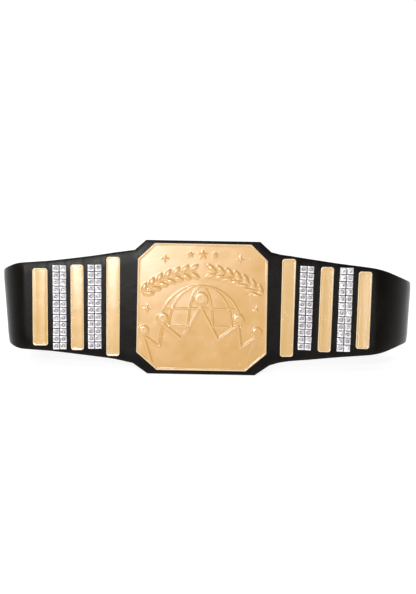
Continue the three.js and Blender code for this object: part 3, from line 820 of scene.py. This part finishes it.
def bar_rise(x, z, to_edge, width, slope, seed):
    """Height of a bar's front: raised border, pressed line inside it and softly uneven field."""
    rise = BAR_EDGE_HEIGHT + BAR_EDGE_RISE * smoothstep(to_edge, *BAR_EDGE_ROUND)
    rise += BORDER_RISE * bead(to_edge - BORDER_PLACE, BORDER_WIDTH)
    rise -= BORDER_RISE * bead(to_edge - PRESSED_PLACE, PRESSED_WIDTH)
    from_ridge = x - RIDGE_WANDER * width * np.sin(z / RIDGE_PACE + seed)
    ridge = np.hypot(from_ridge, RIDGE_ROUND) - RIDGE_ROUND
    rise -= RIDGE_SLOPE * ridge * smoothstep(to_edge, *RIDGE_FADE)
    rise -= slope * x
    uneven = waves(x, BAR_WAVE_STRETCH * z, seed + BAR_WAVE_SEED, BAR_WAVE)
    return rise + BAR_UNEVENNESS * uneven * smoothstep(to_edge, *BAR_WAVE_FADE)


def bar_piece(name, stripe, side, material, rim, seed):
    """A gold bar with a raised border whose edge is painted paler as a painted highlight, as high as the
    strap leaves room for.
    """
    width = bar_width(stripe, side)
    place = stripe_place(stripe, side)
    height = strap_height(place) - 2 * getattr(stripe, side).margin * BAR_MARGIN
    slope = sign_of(side) * math.tan(math.radians(getattr(stripe, side).turn))
    x, z = bar_grid(width, height)
    to_edge = bar_edge_distance(x, z, width, height)
    rise = bar_rise(x, z, to_edge, width, slope, seed)
    points, faces = slab_points(place + x, stripe_rise(stripe, side) + z, -SEAT - rise, -SEAT)
    piece = make_piece(f"foil_{name}", points, faces, material, name, sharp=60)
    # the band along the bar's edge is painted paler: a painted highlight
    paint_edge_highlight(piece, to_edge, rim)


def stone_outline(half, cut):
    """A square with cut corners, counterclockwise as seen from in front."""
    quarter = [(half, -half + cut * half), (half, half - cut * half)]
    points = []
    for cos, sin in ((1, 0), (0, 1), (-1, 0), (0, -1)):
        points += [(cos * x - sin * z, sin * x + cos * z) for x, z in quarter]
    return points


def add_stone(x, z, front, draw, points, faces, kinds):
    """One stone on the strip's backing; some facets round its table and in it are painted dark, as
    painted reflections.
    """
    x += draw.uniform(-STONE_SHIFT[0], STONE_SHIFT[0])
    z += draw.uniform(-STONE_SHIFT[1], STONE_SHIFT[1])
    turn = math.radians(draw.uniform(-STONE_TURN, STONE_TURN))
    tip_x, tip_z = draw.uniform(-STONE_TIP, STONE_TIP, 2)
    first = len(points)
    for share, cut, rise in STONE_LEVELS:
        for corner_x, corner_z in stone_outline(share * STONE_SIZE / 2, cut):
            dx = corner_x * math.cos(turn) - corner_z * math.sin(turn)
            dz = corner_x * math.sin(turn) + corner_z * math.cos(turn)
            points.append((x + dx, front - rise * STONE_TALL - tip_x * dx - tip_z * dz, z + dz))
    shell = ring_faces(len(STONE_LEVELS), STONE_SIDES)
    inmost = STONE_SIDES * (len(STONE_LEVELS) - 2)
    for i, face in enumerate(shell[:-1]):
        faces.append(tuple(first + v for v in face))
        round_table = inmost <= i < inmost + STONE_SIDES
        # some facets round the table and in it get painted dark reflections
        kinds.append(PAINTED_DARK if round_table and draw.random() < PAINTED_DARK_FACETS else CLEAR)
    points.append((x, front - STONE_DIMPLE * STONE_TALL, z))
    table_edge = [first + v for v in shell[-1]]
    for here, there in zip(table_edge, table_edge[1:] + table_edge[:1]):
        faces.append((here, there, len(points) - 1))
        kinds.append(PAINTED_DARK if draw.random() < PAINTED_DARK_TABLE_SHARE * PAINTED_DARK_FACETS else CLEAR)


def strip_piece(name, stripe, side, stone, backing, dark):
    """A strip of stones in two columns, each stone seated on the strip's thin dark backing."""
    place = stripe_place(stripe, side)
    middle = stripe_rise(stripe, side)
    width, height = STONE_COLUMNS * STONE_PITCH, STONE_ROWS * STONE_PITCH
    draw = np.random.default_rng(int(abs(place)) + STONE_SEED[side])
    points, faces, kinds = [], [], []
    front, back = -SEAT - STRIP_BACKING, -SEAT
    levels = np.linspace(middle - height / 2, middle + height / 2, STONE_ROWS + 1)
    for z in levels:
        points += [(place - width / 2, back, z), (place + width / 2, back, z),
                   (place + width / 2, front, z), (place - width / 2, front, z)]
    for face in ring_faces(len(levels), 4):
        faces.append(tuple(reversed(face)))
        kinds.append(BACKING)
    for row in range(STONE_ROWS):
        for column in range(STONE_COLUMNS):
            x = place + (column + 0.5) * STONE_PITCH - width / 2
            z = middle + (row + 0.5) * STONE_PITCH - height / 2
            add_stone(x, z, front, draw, points, faces, kinds)
    piece = make_piece(f"strip_{name}", np.array(points), faces, stone, name, sharp=1)
    piece.data.materials.append(backing)
    piece.data.materials.append(dark)
    piece.data.polygons.foreach_set("material_index", kinds)
    piece.data.polygons.foreach_set("use_smooth", [False] * len(kinds))


def patch_piece(material):
    """The hook-and-loop patch between the tails, with slightly uneven edges."""
    middle = BACK_MIDDLE - LOOP_LENGTH
    near, far = STRAP_THICKNESS + SEAT, STRAP_THICKNESS + SEAT + PATCH_THICKNESS
    levels = np.linspace(-PATCH_HEIGHT / 2, PATCH_HEIGHT / 2, 15)
    y = np.repeat([far, near], len(levels))
    plain = np.concatenate([levels, levels[::-1]])
    rings = []
    for along in np.linspace(middle - PATCH_LENGTH / 2, middle + PATCH_LENGTH / 2, 61):
        x = np.full(plain.shape, along)
        z = plain + PATCH_FRAY * waves(x, plain, PATCH_SEED, PATCH_WAVE)
        rings.append(np.stack([x, y, z], axis=1))
    faces = ring_faces(len(rings), len(rings[0]))
    make_piece("patch_napped", np.vstack(rings), faces, material, "fastener_patch")


class Nodes:
    """Short calls for building one material's nodes."""

    def __init__(self, name):
        self.material = bpy.data.materials.new(name)
        self.material.use_nodes = True
        self.tree = self.material.node_tree
        self.shader = self.tree.nodes["Principled BSDF"]
        self.place = self.add("ShaderNodeTexCoord").outputs["Object"]

    def add(self, kind, **values):
        node = self.tree.nodes.new(kind)
        for key, value in values.items():
            setattr(node, key, value)
        return node

    def link(self, source, target):
        self.tree.links.new(source, target)

    def set(self, name, value):
        """Sets one of the shader's own sockets to a value, or links it to a node's output."""
        if isinstance(value, (int, float)):
            self.shader.inputs[name].default_value = value
        else:
            self.link(value, self.shader.inputs[name])

    def noise(self, scale, detail):
        node = self.add("ShaderNodeTexNoise")
        node.inputs["Scale"].default_value = scale
        node.inputs["Detail"].default_value = detail
        self.link(self.place, node.inputs["Vector"])
        return node.outputs["Fac"]

    def ramp(self, source, colours, start, end):
        """Turns a value into a colour between two, from start to end."""
        node = self.add("ShaderNodeValToRGB")
        for element, at, colour in zip(node.color_ramp.elements, (start, end), colours):
            element.position = at
            element.color = (*colour, 1.0)
        self.link(source, node.inputs["Fac"])
        return node.outputs["Color"]

    def range(self, source, low, high):
        """Spreads the middle stretch of a noise over a range of values."""
        node = self.add("ShaderNodeMapRange")
        node.inputs["From Min"].default_value = 0.3
        node.inputs["From Max"].default_value = 0.7
        node.inputs["To Min"].default_value = low
        node.inputs["To Max"].default_value = high
        self.link(source, node.inputs["Value"])
        return node.outputs["Result"]

    def bump(self, source, strength, distance, before=None):
        node = self.add("ShaderNodeBump")
        node.inputs["Strength"].default_value = strength
        node.inputs["Distance"].default_value = distance
        self.link(source, node.inputs["Height"])
        if before is not None:
            self.link(before, node.inputs["Normal"])
        return node.outputs["Normal"]


def vinyl_material():
    """Smooth black faux leather: fine pebbled grain, a soft gloss and slight warm unevenness."""
    n = Nodes("strap_vinyl")
    n.set("Base Color", n.ramp(n.noise(scale=38, detail=3), VINYL, 0.3, 0.75))
    n.set("Roughness", n.range(n.noise(scale=55, detail=5), 0.24, 0.32))
    n.set("Specular IOR Level", 0.13)
    grain = n.add("ShaderNodeTexVoronoi", feature="SMOOTH_F1")
    grain.inputs["Scale"].default_value = 1500
    n.link(n.place, grain.inputs["Vector"])
    fine = n.bump(grain.outputs["Distance"], strength=0.16, distance=0.0002)
    n.set("Normal", n.bump(n.noise(scale=240, detail=3), strength=0.12, distance=0.0006, before=fine))
    return n.material


def gold_material(name, colours):
    """Pale gold satin foil, a little warmer in patches."""
    n = Nodes(name)
    n.set("Base Color", n.ramp(n.noise(scale=16, detail=4), colours, 0.3, 0.7))
    n.set("IOR", 1.8)
    n.set("Specular IOR Level", 0.84)
    n.set("Roughness", n.range(n.noise(scale=90, detail=5), 0.21, 0.28))
    n.set("Normal", n.bump(n.noise(scale=60, detail=3), strength=0.1, distance=0.0006))
    return n.material


def stone_material(name, colours):
    """Clear stones that show their silvered backs; with grey colours, the painted dark reflections in
    some facets.
    """
    n = Nodes(name)
    n.set("Base Color", n.ramp(n.noise(scale=420, detail=2), colours, 0.35, 0.65))
    n.set("Metallic", 0.45)
    n.set("Roughness", n.range(n.noise(scale=700, detail=2), 0.05, 0.12))
    return n.material


def backing_material():
    """Dark backing film between the stones."""
    n = Nodes("strip_backing")
    n.set("Base Color", n.ramp(n.noise(scale=300, detail=3), BACKING_FILM, 0.3, 0.7))
    n.set("Roughness", 0.5)
    n.set("Normal", n.bump(n.noise(scale=1500, detail=2), strength=0.3, distance=0.0002))
    return n.material


def nap_material():
    """Black hook-and-loop tape."""
    n = Nodes("hook_and_loop")
    n.set("Base Color", n.ramp(n.noise(scale=900, detail=4), NAP, 0.3, 0.7))
    n.set("Roughness", 0.95)
    n.set("Sheen Weight", 0.4)
    n.set("Normal", n.bump(n.noise(scale=1800, detail=3), strength=0.7, distance=0.0006))
    return n.material


def add_camera():
    """A camera square to the plate, turned as the photograph is."""
    data = bpy.data.cameras.new("camera")
    data.sensor_width = SENSOR
    data.lens = SENSOR * CAMERA_DISTANCE / VIEW_HEIGHT
    data.clip_end = CAMERA_RANGE
    cos, sin = math.cos(VIEW_ROLL), math.sin(VIEW_ROLL)
    pose = Matrix(((cos, -sin, 0), (0, 0, -1), (sin, cos, 0))).to_4x4()
    pose.translation = Vector((VIEW_AIM[0], -CAMERA_DISTANCE, VIEW_AIM[1])) * MM
    camera = bpy.data.objects.new("camera", data)
    camera.matrix_world = BELT_TO_MODEL @ pose
    bpy.context.scene.collection.objects.link(camera)
    bpy.context.scene.camera = camera


def add_light(name, place, size, radiance):
    """A soft light that faces the belt."""
    data = bpy.data.lights.new(name, "AREA")
    data.shape = "RECTANGLE"
    data.size, data.size_y = size[0] * MM, size[1] * MM
    data.energy = radiance * math.pi * data.size * data.size_y
    light = bpy.data.objects.new(name, data)
    light.location = Vector(place) * MM
    light.rotation_mode = "QUATERNION"
    aim = Vector(LIGHT_AIM) * MM - light.location
    light.rotation_quaternion = aim.to_track_quat("-Z", "Y")
    bpy.context.scene.collection.objects.link(light)


def add_world():
    """White surroundings behind and above the belt that darken towards the viewer's side."""
    world = bpy.data.worlds.new("studio")
    world.use_nodes = True
    tree = world.node_tree
    place = tree.nodes.new("ShaderNodeTexCoord")
    split = tree.nodes.new("ShaderNodeSeparateXYZ")
    shade = tree.nodes.new("ShaderNodeMapRange")
    tree.links.new(place.outputs["Generated"], split.inputs["Vector"])
    tree.links.new(split.outputs["Y"], shade.inputs["Value"])
    shade.inputs["From Min"].default_value = WORLD_FADE[0]
    shade.inputs["From Max"].default_value = WORLD_FADE[1]
    shade.inputs["To Min"].default_value = WORLD_FRONT
    shade.inputs["To Max"].default_value = WORLD_BACK
    background = tree.nodes["Background"]
    background.inputs["Color"].default_value = (1, 1, 1, 1)
    tree.links.new(shade.outputs["Result"], background.inputs["Strength"])
    bpy.context.scene.world = world


def add_floor():
    """A plain pale floor."""
    mesh = bpy.data.meshes.new("floor")
    far = FLOOR_REACH
    mesh.from_pydata([(-far, -far, 0), (far, -far, 0), (far, far, 0), (-far, far, 0)], [], [(0, 1, 2, 3)])
    material = bpy.data.materials.new("floor")
    material.use_nodes = True
    shader = material.node_tree.nodes["Principled BSDF"]
    shader.inputs["Base Color"].default_value = (FLOOR_GREY, FLOOR_GREY, FLOOR_GREY, 1)
    shader.inputs["Roughness"].default_value = 0.9
    shader.inputs["Emission Color"].default_value = (1, 1, 1, 1)
    shader.inputs["Emission Strength"].default_value = FLOOR_GLOW
    mesh.materials.append(material)
    floor = bpy.data.objects.new("floor", mesh)
    bpy.context.scene.collection.objects.link(floor)


def dress():
    """Makes every piece of the belt."""
    vinyl = vinyl_material()
    gold = gold_material("gold_foil", GOLD)
    warm = gold_material("gold_foil_warm", WARM_GOLD)
    # paler gold for the painted highlight along the edges of the plate and the bars
    rim = gold_material("gold_foil_painted_edge_highlight", PAINTED_HIGHLIGHT_GOLD)
    backing = backing_material()
    stone = stone_material("clear_stone", CLEAR_STONE)
    # grey for the painted dark reflections in some of the stones' facets
    dark = stone_material("clear_stone_painted_dark", PAINTED_REFLECTION_STONE)
    strap_piece(vinyl)
    plate_piece(warm, rim)
    seed = STRIPE_SEED
    for side in ("left", "right"):
        for stripe in STRIPES:
            if stripe.stones:
                strip_piece(f"stones_{side}_{stripe.name}", stripe, side, stone, backing, dark)
            else:
                bar_piece(f"bar_{side}_{stripe.name}", stripe, side, gold, rim, seed)
            seed += 1
    patch_piece(nap_material())


add_camera()
add_world()
add_floor()
for light in LIGHTS:
    add_light(*light)
bpy.context.scene.view_settings.view_transform = "Standard"
dress()
